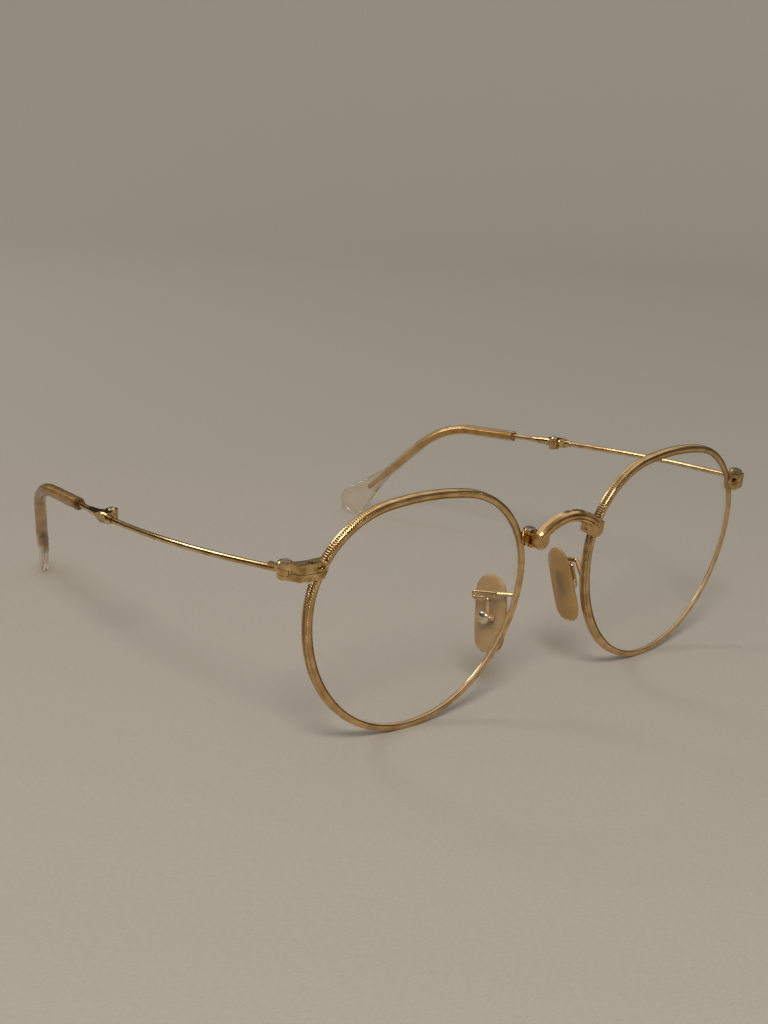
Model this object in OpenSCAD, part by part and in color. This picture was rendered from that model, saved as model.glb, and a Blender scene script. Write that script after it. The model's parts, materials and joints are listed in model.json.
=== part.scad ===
// Folding eyeglasses: two rims on a hinged bridge, with temples that fold at
// the front and again half way back. Sizes in millimetres.
// X runs to the wearer's left, Y towards the back of the head and Z up.
// The part stands on z = 0 on the low edges of its rims and its temple tips.

/* [Lenses and rims] */
// Width of the boxed lens
lens_w = 50; // [46:0.5:54]
// Height of the boxed lens
lens_h = 46; // [43:0.5:49]
// Distance between the two lenses at the nose
lens_gap = 20.5; // [18:0.5:24]
// Thickness of the clear lenses
lens_t = 1.4; // [1:0.1:2]
// Radius of the lens surfaces
lens_curve = 260; // [180:10:400]
// Width of the rim wire, seen from the front
rim_w = 1.4; // [1.2:0.1:2]
// Depth of the rim wire, front to back
rim_d = 1.7; // [1.5:0.1:2.4]
// Lean of the front's top towards the viewer, in degrees
rim_lean = 3.63; // [0:0.1:8]
// Turn of each rim's outer side towards the temples, in degrees
rim_wrap = 3.27; // [0:0.1:6]

/* [Bridge] */
// Height of the bridge pins' middle above the lens centre
bridge_up = 11.45; // [9:0.1:12]
// Distance from the rim's line to the bridge pin
bridge_reach = 2.8; // [2.6:0.05:3.2]
// Lean of the bridge pins beyond the rims' own lean, in degrees
pin_lean = 3.9; // [3.5:0.1:5]
// Rise of the arch over its ends
arch_rise = 2.85; // [2:0.1:4]
// Width of the arch's band, seen from the front
arch_w = 2.3; // [1.8:0.1:2.8]
// Depth of the arch's band
arch_d = 1.5; // [1.2:0.1:2]
// Radius of the bridge's hinge barrels
bridge_barrel_r = 1.4; // [1.3:0.05:1.5]

/* [Closing blocks] */
// Height of the rim's split above the lens centre
split_up = 12.45; // [11:0.1:13.5]
// Distance outwards from the rim's line to the temple hinge
hinge_out = 6.15; // [5.8:0.05:7]
// Distance backwards from the rim's line to the temple hinge
hinge_back = 2.32; // [2:0.05:3]
// Radius of the temple hinge's barrel
hinge_r = 1.4; // [1.25:0.05:1.6]
// Height of the block's upper half
block_top_h = 1.8; // [1.6:0.1:2.4]
// Height of the block's lower half
block_low_h = 1.4; // [1.2:0.1:2]

/* [Temples] */
// Length of the temple from the front hinge to the middle hinge
front_len = 57.4; // [50:0.5:60]
// Outward bow of that length
front_bow = 2.65; // [1.5:0.1:4]
// Outward lean of that length, in degrees
temple_flare = 2.7; // [0:0.1:5]
// Fall of the temples towards the back, in degrees
temple_fall = 4.7; // [4.5:0.1:6]
// Length of straight wire from the middle hinge to the ear bend
rear_len = 29; // [25:0.5:35]
// Radius of the ear bend
ear_r = 23; // [18:0.5:30]
// Angle of the ear bend, in degrees
ear_bend = 44.5; // [38:0.5:52]
// Inward roll of the ear bend, in degrees
ear_roll = 21.5; // [18:0.5:22]
// Radius of the temple wire
wire_r = 0.6; // [0.5:0.05:0.8]
// Inward offset of the middle hinge's pin from the wire
pin_in = 1.5; // [1.4:0.05:1.8]
// Distance from the middle hinge to the sleeve
sleeve_from = 14; // [10:0.5:18]
// Radius of the sleeve
sleeve_r = 1.38; // [1.2:0.02:1.4]
// Width of the flat tip
tip_w = 8.2; // [7:0.1:8.4]
// Thickness of the flat tip
tip_t = 2.3; // [2:0.1:2.4]
// Turn of the flat tip about the hook's own line
tip_turn = -28; // [-32:1:-24]

/* [Nose pads] */
// Distance of each pad's middle from the middle of the nose
pad_x = 11; // [10.6:0.05:12.5]
// Distance of each pad's middle behind the rims
pad_back = 4.25; // [3.5:0.05:5]
// Distance of the pads' middle below the lens centre
pad_low = 5.5; // [4:0.05:7]
// Half the difference in height between the two pads
pad_uneven = 0.95; // [0:0.05:1]
// Width of a pad
pad_w = 7.7; // [7:0.1:9]
// Height of a pad
pad_h = 16.5; // [13:0.1:17]
// Thickness of a pad
pad_t = 1.8; // [1.6:0.1:2.2]
// Radius of the pad arm's wire
arm_r = 0.45; // [0.4:0.05:0.6]

/* [Hidden] */
$fn = 48;

right = -1;
left = 1;
gold = [0.83, 0.66, 0.36];
screw_gold = [0.9, 0.8, 0.56];
clear_lens = [0.9, 0.95, 0.97, 0.25];
sleeve_brown = [0.72, 0.48, 0.2, 0.8];
pad_tan = [0.85, 0.7, 0.5, 0.8];
insert_olive = [0.5, 0.45, 0.28];

// Clearances: a running fit, a seam between pieces of one body, and a joint
// line that shows
fit = 0.05;
seam = 0.01;
split = 0.1;
long = 8;
eps = 0.02;
slot_deep = 0.25;

// The rim's centre line is four kinds of arc: top, corner, side and bottom
rim_half = rim_w / 2;
edge_in = 0.35;
line_w = lens_w + 2 * edge_in;
line_h = lens_h + 2 * edge_in;
top_r = 1.18 * line_w;
corner_r = 0.375 * line_w;
side_r = 0.552 * line_w;
bottom_r = 0.4734 * line_w;
corner_x = line_w / 2 - corner_r;
a_top = acos(corner_x / (top_r - corner_r));
corner_y = line_h / 2 - top_r + (top_r - corner_r) * sin(a_top);
top_c = [0, line_h / 2 - top_r];
corner_c = [corner_x, corner_y];
bottom_c = [0, bottom_r - line_h / 2];
to_bottom = bottom_c - corner_c;
span = norm(to_bottom);
reach_a = side_r - corner_r;
reach_b = side_r - bottom_r;
along = (reach_a * reach_a - reach_b * reach_b + span * span) / (2 * span);
aside = sqrt(max(0, reach_a * reach_a - along * along));
unit = to_bottom / span;
side_c = corner_c + along * unit + aside * [unit[1], -unit[0]];
a_side = atan2(corner_c[1] - side_c[1], corner_c[0] - side_c[0]);
a_low = atan2(bottom_c[1] - side_c[1], bottom_c[0] - side_c[0]);
rim_x = lens_gap / 2 + lens_w / 2;

// Half width of the rim's line at a height, on its corner arc or its side arc
side_top = corner_y + corner_r * sin(a_side);
function line_x(up) = up > side_top
    ? corner_x + corner_r * cos(asin((up - corner_y) / corner_r))
    : side_c[0] + side_r * cos(asin((up - side_c[1]) / side_r));

// Turns of a vector about the axes
function about_x(a, v) = [v[0], v[1] * cos(a) - v[2] * sin(a), v[1] * sin(a) + v[2] * cos(a)];
function about_y(a, v) = [v[0] * cos(a) + v[2] * sin(a), v[1], v[2] * cos(a) - v[0] * sin(a)];
function about_z(a, v) = [v[0] * cos(a) - v[1] * sin(a), v[0] * sin(a) + v[1] * cos(a), v[2]];

// Rim section: chamfered outside, with a groove for the lens inside
rim_chamfer = 0.25;
groove_d = 0.4;
groove_w = 0.42;
groove_low = 0.55 * groove_w;
rim_half_d = rim_d / 2;
arc_past = 0.4;

// The front stands on the rims' low edges
front_z = (line_h / 2 + rim_half) * cos(rim_lean) + (rim_half_d - rim_chamfer) * sin(rim_lean);

// Bridge hinge, in the front's own frame: x, back, up from the lens centre
bridge_line = line_x(bridge_up);
bridge_x = rim_x - bridge_line * cos(rim_wrap) - bridge_reach;
bridge_fore = 0.2;
bridge_y = -bridge_line * sin(rim_wrap) - bridge_fore;
ear_h = 0.7;
bridge_barrel_h = 3;
tongue_h = bridge_barrel_h - 2 * ear_h - 2 * fit;
bridge_pin_r = 0.55;
bridge_head = [1.05, 0.45, 0.3];
tongue_fore = 0.9;
tongue_deep = 2.1;
tongue_into = 0.6;
plate_front = 3.3;
plate_back = 2;
plate_in = 2.45;
plate_out = 1;
plate_h = 3.2;
plate_round = 1.4;
arch_in = 0.8;
arch_over = 0.87;
arch_past = 4;
band_lip = 0.3;
rib_in = 0.12;
rib_low = 0.2;
arch_end = bridge_x - arch_in;
arch_base = bridge_up + arch_over;
arch_r = (arch_end * arch_end + arch_rise * arch_rise) / (2 * arch_rise);
arch_half = asin(arch_end / arch_r);
arch_y = bridge_y - plate_back - arch_d / 2;
arch_z = arch_base - arch_r + arch_rise;

// Temple hinge, in the front's own frame
split_line = line_x(split_up);
block_x = rim_x + split_line * cos(rim_wrap);
block_y = split_line * sin(rim_wrap);
hinge_x = block_x + hinge_out;
hinge_y = block_y + hinge_back;
knuckle_h = 1;
hinge_pin_r = 0.5;
block_in = 0.8;
block_wall = 0.35;
block_fore = rim_half_d + block_wall;
block_rear = hinge_back - 1.19;
facet_a = [hinge_out - 2.9, -block_fore];
facet_b = [hinge_out - 1.1, block_wall - block_fore];
facet_c = [hinge_out - 0.25, hinge_back - 2];
facet_d = [hinge_out + 0.9, hinge_back - 1];
hollow = [hinge_out - 0.7, hinge_back - 0.6];
block_plan = [
    [-block_in, -block_fore], facet_a, facet_b, facet_c, facet_d, [hinge_out, hinge_back],
    hollow, [hinge_out - 2.5, block_rear], [-block_in, block_rear]
];
barrel_gap = 0.15;
closing_x = 2.65;
closing_y = -0.3;
closing_r = 0.5;
closing_short = 0.3;
closing_head = [0.85, 0.45, 0.25];
hinge_head = [1, 0.45, 0.28];
hinge_sunk = 0.35;
barrel_round = 0.25;
barrel_lip = 0.06;
dent = [[0, -0.5], [0.9, -0.5], [2.1, 0], [0.9, 0.5], [0, 0.5]];
dent_deep = 0.6;

// Temple: the wire starts in a flat tail that leaves the hinge's barrel
tail_len = 4;
tail_w = 1;
wire_in = 0.35;
bow_r = (front_len * front_len / 4 + front_bow * front_bow) / (2 * front_bow);
bow_half = asin(front_len / 2 / bow_r);
start_turn = -temple_flare - bow_half;
end_turn = bow_half - temple_flare;
tail_bare = 2.4;
tail_skip = asin(tail_bare / bow_r);
start_rel = about_x(rim_lean, [hinge_x - wire_in, hinge_y, split_up]);
mid_rel = start_rel + about_x(-temple_fall, about_z(-temple_flare, [0, front_len, 0]));

// Middle hinge, in a frame that follows the wire there
leaf_len = 2.6;
leaf_out = 1.05;
leaf_in = 0.9;
leaf_r = 1.5;
front_taper = 3.4;
rear_taper = 6.5;
taper_lip = 0.15;
leaf_neck = 0.2;
leaf_slope = 0.9;
barrel_air = 0.1;
mid_head_h = 0.3;
mid_head = [0.8, 0.55];
wire_from = 0.6;
leaf_h = 2.2;
barrel_r = 1.3;
barrel_h = 2.8;
mid_tongue_h = 1;
mid_pin_r = 0.45;

// Sleeve and tip
edge_r = tip_t / 2;
disc_r = tip_w / 2 - edge_r;
taper_len = 13;
taper_step = 0.04;
core_short = 6;
function to_rear(v) = about_x(-temple_fall, about_z(end_turn, v));
function to_hook(v) = to_rear(about_y(ear_roll, v));
bend_end = mid_rel + to_rear([0, rear_len, 0])
    + to_hook([0, ear_r * sin(ear_bend), -ear_r * (1 - cos(ear_bend))]);
hook_way = to_hook([0, cos(ear_bend), -sin(ear_bend)]);
hook_side = to_hook(about_x(-90 - ear_bend, [cos(tip_turn), sin(tip_turn), 0]));
tip_drop = disc_r * sqrt(1 - hook_side[2] * hook_side[2]) + edge_r;
tip_back = disc_r * sqrt(1 - hook_side[1] * hook_side[1]) + edge_r;
hook_len = (bend_end[2] + front_z - tip_drop) / -hook_way[2];
tip_rel = bend_end + hook_len * hook_way;

// The part is centred between the arch's front and the tips' ends
arch_top = arch_z + arch_r + arch_w / 2;
arch_front_rel = (arch_y - arch_d / 2) * cos(rim_lean) - (arch_top - band_lip) * sin(rim_lean);
front_y = -(arch_front_rel + tip_rel[1] + tip_back) / 2;

// Nose pads, in the front's own frame
pad_turn = [-12.5, -8.5, -10];
pad_twist = [2, 3, 0];
pad_shift = [0.3, -0.25, -pad_uneven];
pad_half_t = pad_t / 2;
box_r = 1.3;
box_gap = 0.15;
box_len = 1.8;
box_z = -0.35;
pad_pin_r = 0.35;
pad_pin_in = 0.6;
pad_pin_x = pad_half_t + box_gap + pad_pin_in;
pad_head = [0.6, 0.4, 0.2];
tab_r = 0.6;
tab_half = 0.3;
plate_half_w = 1.3;
plate_half_h = 3.2;
plate_half_t = 0.2;
loop_r = arm_r + 0.07;
bar_into = 0.1;
loop_back = 2.5;
loop_up = 4.9;
loop_dip = 0.3;
loop_fore = 3;
loop_fall = 2.2 * loop_r;
root_up = -0.7;
root_line = line_x(root_up);
root_x = rim_x - root_line * cos(rim_wrap);
root_y = -root_line * sin(rim_wrap) + rim_half_d - barrel_air;
leg_in = 0.25;
leg_x = pad_half_t + box_gap + box_len - leg_in;
leg_y = -0.9;
leg_end = 0.3;

// The two pads are bent a little differently
function pad_mid(side) = [pad_x, pad_back, -pad_low] - side * pad_shift;
function pad_turned(side) = pad_turn - side * pad_twist;
function pad_point(side, p) = pad_mid(side)
    + about_z(pad_turned(side)[2], about_y(pad_turned(side)[1], about_x(pad_turned(side)[0], p)));

// Frames
module sided(side) {
    if (side > 0) {
        children();
    } else {
        mirror([1, 0, 0]) children();
    }
}

module on_front(side) {
    sided(side) translate([0, front_y, front_z]) rotate([rim_lean, 0, 0]) children();
}

module on_rim() {
    translate([rim_x, 0, 0]) rotate([0, 0, rim_wrap]) rotate([90, 0, 0]) children();
}

module on_temple(side) {
    sided(side) translate([0, front_y, front_z]) translate(start_rel)
        rotate([-temple_fall, 0, 0]) children();
}

module on_middle(side) {
    sided(side) translate([0, front_y, front_z]) translate(mid_rel)
        rotate([-temple_fall, 0, 0]) rotate([0, 0, end_turn]) children();
}

module on_pad(side) {
    on_front(side) translate(pad_mid(side)) rotate(pad_turned(side)) children();
}

// One arc of a bar whose section is the child shape
module sweep(centre, radius, from, to) {
    translate([centre[0], centre[1], 0]) rotate([0, 0, from])
        rotate_extrude(angle = to - from, $fn = 240) translate([radius, 0]) children();
}

// Every second arc is a hair thicker and runs a little into its neighbours
module around_rim() {
    sweep(top_c, top_r, a_top, 180 - a_top) rim_section(0);
    sweep(bottom_c, bottom_r, -180 - a_low - arc_past, a_low + arc_past) rim_section(seam);
    for (turn = [0, 1]) {
        mirror([turn, 0, 0]) sweep(corner_c, corner_r, a_side - arc_past, a_top + arc_past)
            rim_section(seam);
        mirror([turn, 0, 0]) sweep(side_c, side_r, a_low, a_side) rim_section(0);
    }
}

module rim_section(more) {
    half = rim_half + more;
    deep = rim_half_d + more;
    floor_x = groove_d - half;
    polygon([
        [-half, more - groove_w], [-half, -deep + rim_chamfer], [-half + rim_chamfer, -deep],
        [half - rim_chamfer, -deep], [half, -deep + rim_chamfer], [half, deep - rim_chamfer],
        [half - rim_chamfer, deep], [-half + rim_chamfer, deep], [-half, deep - rim_chamfer],
        [-half, groove_w - more], [floor_x, groove_low - more], [floor_x, more - groove_low]
    ]);
}

module rim(side) {
    color(gold) on_front(side) difference() {
        on_rim() around_rim();
        translate([block_x - long / 2, block_y - long / 2, split_up - split / 2])
            cube([long, long, split]);
    }
}

// Lens: a plate of the rim's outline between two spheres, with a thin edge
// that lies in the rim's groove
lens_off = -rim_half - fit;
edge_off = groove_d - rim_half - fit;
edge_half = groove_low - fit;
edge_deep = 2.5;
plate_half = 4;
sag = line_w * line_w / 8 / lens_curve;
lens_back = sag - lens_t / 2;
function arc_points(c, r, from, to, n) =
    [for (i = [0:n - 1]) c + r * [cos(from + (to - from) * i / n), sin(from + (to - from) * i / n)]];
function outline(off) = concat(
    arc_points(top_c, top_r + off, 180 - a_top, a_top, 12),
    arc_points(corner_c, corner_r + off, a_top, a_side, 28),
    arc_points(side_c, side_r + off, a_side, a_low, 24),
    arc_points(bottom_c, bottom_r + off, a_low, -180 - a_low, 40),
    arc_points([-side_c[0], side_c[1]], side_r + off, 180 - a_low, 180 - a_side, 24),
    arc_points([-corner_c[0], corner_c[1]], corner_r + off, 180 - a_side, 180 - a_top, 28)
);

module lens_plate(off, half) {
    translate([0, 0, -half]) linear_extrude(height = 2 * half) polygon(outline(off));
}

module lens(side) {
    color(clear_lens) on_front(side) on_rim() {
        difference() {
            intersection() {
                lens_plate(lens_off, plate_half);
                translate([0, 0, lens_back + lens_t - lens_curve]) sphere(r = lens_curve, $fn = 360);
            }
            translate([0, 0, lens_back - lens_curve]) sphere(r = lens_curve, $fn = 360);
        }
        difference() {
            lens_plate(edge_off, edge_half);
            lens_plate(-edge_deep, plate_half);
        }
    }
}

// Bridge
module band() {
    polygon([
        [-arch_w / 2, rib_low], [-arch_w / 2 + band_lip, arch_d / 2 - rib_in],
        [-arch_w / 6 - rib_in, arch_d / 2 - rib_in / 2], [-arch_w / 6, arch_d / 2 - band_lip],
        [rib_in - arch_w / 6, arch_d / 2], [arch_w / 6 - rib_in, arch_d / 2],
        [arch_w / 6, arch_d / 2 - band_lip], [arch_w / 6 + rib_in, arch_d / 2 - rib_in / 2],
        [arch_w / 2 - band_lip, arch_d / 2 - rib_in], [arch_w / 2, rib_low],
        [arch_w / 2, -arch_d / 2], [-arch_w / 2, -arch_d / 2]
    ]);
}

module arch() {
    half = arch_half + arch_past;
    translate([0, arch_y, arch_z]) rotate([90, 0, 0]) sweep([0, 0], arch_r, 90 - half, 90 + half) band();
}

// The bridge hinge's parts are drawn about the middle of its pin
module on_pin() {
    translate([bridge_x, bridge_y, bridge_up]) rotate([pin_lean, 0, 0]) children();
}

module bridge_end() {
    bottom = -plate_h / 2;
    depth = plate_front - plate_back;
    translate([-plate_in, -plate_front, bottom + plate_round])
        cube([plate_in + plate_out, depth, plate_h - plate_round]);
    translate([plate_round - plate_in, -plate_front, bottom])
        cube([plate_in + plate_out - 2 * plate_round, depth, 2 * plate_round]);
    for (x = [plate_round - plate_in, plate_out - plate_round]) {
        translate([x, -plate_back, bottom + plate_round]) rotate([90, 0, 0])
            cylinder(r = plate_round, h = depth);
    }
    difference() {
        for (z = [-bridge_barrel_h / 2, bridge_barrel_h / 2 - ear_h]) {
            translate([0, 0, z]) cylinder(r = bridge_barrel_r, h = ear_h);
            translate([-bridge_barrel_r, -plate_back - eps, z])
                cube([bridge_barrel_r + plate_out, plate_back + eps, ear_h]);
        }
        translate([0, 0, -long / 2]) cylinder(r = bridge_pin_r + seam, h = long);
    }
}

module bridge() {
    color(gold) on_front(left) {
        arch();
        on_pin() bridge_end();
        mirror([1, 0, 0]) on_pin() bridge_end();
    }
}

// Head given as its radius, its height and the width of its slot
module slotted_head(size) {
    difference() {
        cylinder(r = size[0], h = size[1]);
        translate([-long / 2, -size[2] / 2, size[1] - slot_deep]) cube([long, size[2], long]);
    }
}

module bridge_screw(side) {
    color(screw_gold) on_front(side) on_pin() {
        translate([0, 0, -bridge_barrel_h / 2]) cylinder(r = bridge_pin_r, h = bridge_barrel_h);
        translate([0, 0, bridge_barrel_h / 2]) rotate([0, 0, 35]) slotted_head(bridge_head);
    }
}

module bridge_knuckle(side) {
    low = -tongue_h / 2;
    color(gold) on_front(side) difference() {
        on_pin() union() {
            translate([0, 0, low]) cylinder(r = bridge_barrel_r, h = tongue_h);
            translate([0, -bridge_barrel_r, low])
                cube([bridge_barrel_r, bridge_barrel_r, tongue_h]);
            translate([0, -tongue_fore, low])
                cube([bridge_reach - rim_half + tongue_into, tongue_deep, tongue_h]);
        }
        on_pin() translate([0, 0, -long / 2]) cylinder(r = bridge_pin_r + fit, h = long);
        rim_seat(1);
    }
}

// Room for the rim and for all that lies inside it, along one side
module seat_arc(centre, radius, from, to) {
    sweep(centre, 0, from, to) translate([radius - long, 0]) {
        translate([0, -rim_half_d - seam]) square([long + rim_half + seam, rim_d + 2 * seam]);
        translate([0, -long / 2]) square([long - rim_half, long]);
    }
}

module rim_seat(turn) {
    on_rim() mirror([turn, 0, 0]) {
        seat_arc(corner_c, corner_r, a_side, a_top);
        seat_arc(side_c, side_r, a_low, a_side);
    }
}

// Closing block, with the upper and lower barrels of the temple hinge. A half is
// drawn upwards from the split, and mirrored for the lower one
module block_half(flip, height) {
    top = split / 2 + height;
    difference() {
        translate([0, 0, split_up]) mirror([0, 0, flip]) difference() {
            union() {
                translate([block_x, block_y, split / 2])
                    linear_extrude(height = height - barrel_lip) polygon(block_plan);
                translate([hinge_x, hinge_y, 0]) rotate_extrude() polygon([
                    [0, split / 2], [hinge_r, split / 2], [hinge_r, top - barrel_round],
                    [hinge_r - barrel_round, top], [0, top]
                ]);
            }
            translate([block_x + closing_x, block_y + closing_y, 0])
                cylinder(r = closing_r + seam, h = long);
            translate([hinge_x, hinge_y, 0]) {
                cylinder(r = hinge_pin_r + seam, h = long);
                cylinder(r = hinge_r + barrel_gap, h = knuckle_h / 2 + fit);
            }
        }
        rim_seat(0);
    }
}

module closing_block_upper(side) {
    top = split_up + split / 2 + block_top_h;
    color(gold) on_front(side) difference() {
        block_half(0, block_top_h);
        translate([hinge_x, hinge_y, top - hinge_sunk]) cylinder(r = hinge_head[0] + seam, h = 1);
        translate([block_x, block_y - block_fore, top - block_top_h / 2]) rotate([90, 0, 0])
            linear_extrude(height = 2 * dent_deep, center = true) polygon(dent);
    }
}

module closing_block_lower(side) {
    color(gold) on_front(side) block_half(1, block_low_h);
}

module closing_screw(side) {
    low = split_up - split / 2 - block_low_h + barrel_lip;
    color(screw_gold) on_front(side) translate([block_x + closing_x, block_y + closing_y, low]) {
        cylinder(r = closing_r, h = block_low_h + block_top_h - closing_short);
        rotate([180, 0, 20]) slotted_head(closing_head);
    }
}

module temple_hinge_screw(side) {
    low = split_up - split / 2 - block_low_h;
    top = split_up + split / 2 + block_top_h;
    color(screw_gold) on_front(side) translate([hinge_x, hinge_y, 0]) {
        translate([0, 0, low]) cylinder(r = hinge_pin_r, h = top - low - hinge_sunk);
        translate([0, 0, top - hinge_sunk]) rotate([0, 0, 50]) slotted_head(hinge_head);
    }
}

// Temple
module front_arc(extra) {
    rotate([0, 0, start_turn]) translate([-bow_r, 0, 0]) rotate([0, 0, tail_skip])
        rotate_extrude(angle = 2 * bow_half - 2 * tail_skip, $fn = 720) translate([bow_r, 0])
            circle(r = wire_r + extra, $fn = 32);
}

module temple_knuckle(side) {
    color(gold) difference() {
        on_front(side) translate([hinge_x, hinge_y, split_up - knuckle_h / 2]) difference() {
            union() {
                cylinder(r = hinge_r, h = knuckle_h);
                translate([-wire_in, 0, 0]) rotate([0, 0, start_turn])
                    translate([-tail_w / 2, 0, 0]) cube([tail_w, tail_len, knuckle_h]);
            }
            translate([0, 0, -1]) cylinder(r = hinge_pin_r + fit, h = long);
        }
        on_temple(side) front_arc(seam);
    }
}

module temple_front(side) {
    color(gold) on_temple(side) front_arc(0);
}

module leaf(flip, taper) {
    neck = pin_in - leaf_neck;
    mirror([0, flip, 0]) {
        intersection() {
            translate([0, 0, -leaf_h / 2]) linear_extrude(height = leaf_h)
                polygon([
                    [-neck, split / 2], [leaf_out, split / 2], [leaf_out, leaf_len],
                    [-leaf_in, leaf_len], [-neck, leaf_slope]
                ]);
            rotate([-90, 0, 0]) cylinder(r1 = leaf_r, r2 = leaf_h / 2, h = leaf_len + eps);
        }
        translate([0, leaf_slope, 0]) rotate([-90, 0, 0])
            cylinder(r1 = leaf_h / 2, r2 = wire_r + taper_lip, h = taper);
    }
}

module mid_hinge_front_leaf(side) {
    color(gold) difference() {
        on_middle(side) difference() {
            union() {
                leaf(1, front_taper);
                translate([-pin_in, 0, -barrel_h / 2]) cylinder(r = barrel_r, h = barrel_h);
            }
            translate([-pin_in, 0, -mid_tongue_h / 2 - fit])
                cylinder(r = barrel_r + barrel_air, h = mid_tongue_h + 2 * fit);
            translate([-pin_in - long, -3 * split / 2, -mid_tongue_h / 2 - fit])
                cube([long, long, mid_tongue_h + 2 * fit]);
            translate([-pin_in, 0, -long / 2]) cylinder(r = mid_pin_r + seam, h = long);
        }
        on_temple(side) front_arc(seam);
    }
}

module mid_hinge_pin(side) {
    color(screw_gold) on_middle(side) translate([-pin_in, 0, -barrel_h / 2]) {
        cylinder(r = mid_pin_r, h = barrel_h + seam);
        translate([0, 0, barrel_h]) cylinder(r1 = mid_head[0], r2 = mid_head[1], h = mid_head_h);
    }
}

module mid_hinge_rear_leaf(side) {
    color(gold) on_middle(side) difference() {
        union() {
            difference() {
                leaf(0, rear_taper);
                for (z = [mid_tongue_h / 2, -mid_tongue_h / 2 - long]) {
                    translate([-pin_in, 0, z]) cylinder(r = barrel_r + barrel_air, h = long);
                }
            }
            translate([-pin_in, 0, -mid_tongue_h / 2]) cylinder(r = barrel_r, h = mid_tongue_h);
        }
        translate([-pin_in, 0, -long / 2]) cylinder(r = mid_pin_r + fit, h = long);
        hooked_bar(wire_r + seam, wire_from, 0);
    }
}

// Frames at the start of the ear bend and at its end
module on_bend() {
    translate([0, rear_len, 0]) rotate([0, ear_roll, 0]) children();
}

module past_bend() {
    on_bend() translate([0, ear_r * sin(ear_bend), -ear_r * (1 - cos(ear_bend))])
        rotate([-90 - ear_bend, 0, 0]) children();
}

// Straight bar, ear bend and straight hook. The bend is a hair thicker than the
// straight bars, which run a little into it
module hooked_bar(r, from, length) {
    translate([0, from, 0]) rotate([-90, 0, 0]) cylinder(r = r, h = rear_len + bar_into - from);
    on_bend() translate([0, 0, -ear_r]) rotate([0, -90, 0])
        rotate_extrude(angle = ear_bend, $fn = 240) translate([ear_r, 0])
            circle(r = r + seam, $fn = 32);
    past_bend() translate([0, 0, -bar_into]) cylinder(r = r, h = length + bar_into);
}

module temple_rear(side) {
    color(gold) on_middle(side) hooked_bar(wire_r, wire_from, hook_len - core_short);
}

module temple_tip(side) {
    color(sleeve_brown) on_middle(side) difference() {
        union() {
            hooked_bar(sleeve_r, sleeve_from, hook_len - taper_len);
            past_bend() hull() {
                translate([0, 0, hook_len - taper_len])
                    sphere(r = sleeve_r - taper_step, $fn = 32);
                translate([0, 0, hook_len]) rotate([0, 0, tip_turn]) rotate([0, 90, 0])
                    rotate_extrude($fn = 32) translate([disc_r, 0]) circle(r = edge_r, $fn = 24);
            }
        }
        hooked_bar(wire_r + seam, wire_from, hook_len - core_short + seam);
    }
}

// Nose pads
module bar(from, to, r) {
    way = to - from;
    flat = norm([way[0], way[1]]);
    translate(from) rotate([0, 0, atan2(way[1], way[0])]) rotate([0, atan2(flat, way[2]), 0])
        cylinder(r = r, h = norm(way));
}

// Round bend between two directions at a corner point
module elbow(before, corner, after, bend, r) {
    a = (before - corner) / norm(before - corner);
    b = (after - corner) / norm(after - corner);
    half = acos(a * b) / 2;
    middle = (a + b) / norm(a + b);
    centre = corner + middle * bend / sin(half);
    up = cross(b, a) / norm(cross(b, a));
    swing = atan2(up[1], up[0]);
    tilt = acos(up[2]);
    flat_x = about_z(swing, about_y(tilt, [1, 0, 0]));
    flat_y = about_z(swing, about_y(tilt, [0, 1, 0]));
    spin = atan2(-middle * flat_y, -middle * flat_x);
    turn = 90 - half;
    translate(centre) rotate([0, tilt, swing]) rotate([0, 0, spin - turn])
        rotate_extrude(angle = 2 * turn, $fn = 96) translate([bend, 0]) circle(r = r, $fn = 32);
}

// How far a bend's ends lie from its corner
function trim(before, corner, after, bend) =
    bend / tan(acos((before - corner) * (after - corner)
        / norm(before - corner) / norm(after - corner)) / 2);

function toward(from, to, way) = from + (to - from) * way / norm(to - from);

// The bends are a hair thicker than the bars, whose ends run a little into them
module bent_wire(points, bend, r) {
    last = len(points) - 1;
    cuts = [for (i = [0:last]) (i == 0 || i == last) ? 0
        : trim(points[i - 1], points[i], points[i + 1], bend) - bar_into];
    for (i = [0:last - 1]) {
        bar(toward(points[i], points[i + 1], cuts[i]),
            toward(points[i + 1], points[i], cuts[i + 1]), r);
    }
    for (i = [1:last - 1]) {
        elbow(points[i - 1], points[i], points[i + 1], bend, r + eps);
    }
}

function arm_path(side) = [
    [root_x, root_y, root_up],
    pad_point(side, [leg_x, -loop_fore, loop_up]),
    pad_point(side, [leg_x, loop_back, loop_up - loop_dip]),
    pad_point(side, [leg_x, loop_back, loop_up - loop_dip - loop_fall]),
    pad_point(side, [leg_x, leg_y, loop_up - loop_fall]),
    pad_point(side, [leg_x, leg_y, box_z + leg_end])
];

module pad_arm(side) {
    color(gold) on_front(side) difference() {
        bent_wire(arm_path(side), loop_r, arm_r);
        on_rim() mirror([1, 0, 0]) sweep(side_c, side_r, a_low, a_side)
            translate([-rim_half, -rim_half_d]) square([rim_w, rim_d]);
    }
}

module pad_box(side) {
    color(gold) difference() {
        on_pad(side) translate([pad_half_t + box_gap, 0, box_z]) difference() {
            rotate([0, 90, 0]) cylinder(r = box_r, h = box_len);
            translate([-1, -tab_half - fit, -long / 2])
                cube([1 + pad_pin_in + tab_r + barrel_air, 2 * (tab_half + fit), long]);
            translate([pad_pin_in, long / 2, 0]) rotate([90, 0, 0]) cylinder(r = pad_pin_r + seam, h = long);
        }
        on_front(side) bent_wire(arm_path(side), loop_r, arm_r + seam);
    }
}

module pad_screw(side) {
    color(screw_gold) on_pad(side) translate([pad_pin_x, 0, box_z]) rotate([90, 0, 0]) {
        translate([0, 0, -box_r]) cylinder(r = pad_pin_r, h = 2 * box_r);
        translate([0, 0, box_r]) slotted_head(pad_head);
    }
}

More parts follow.
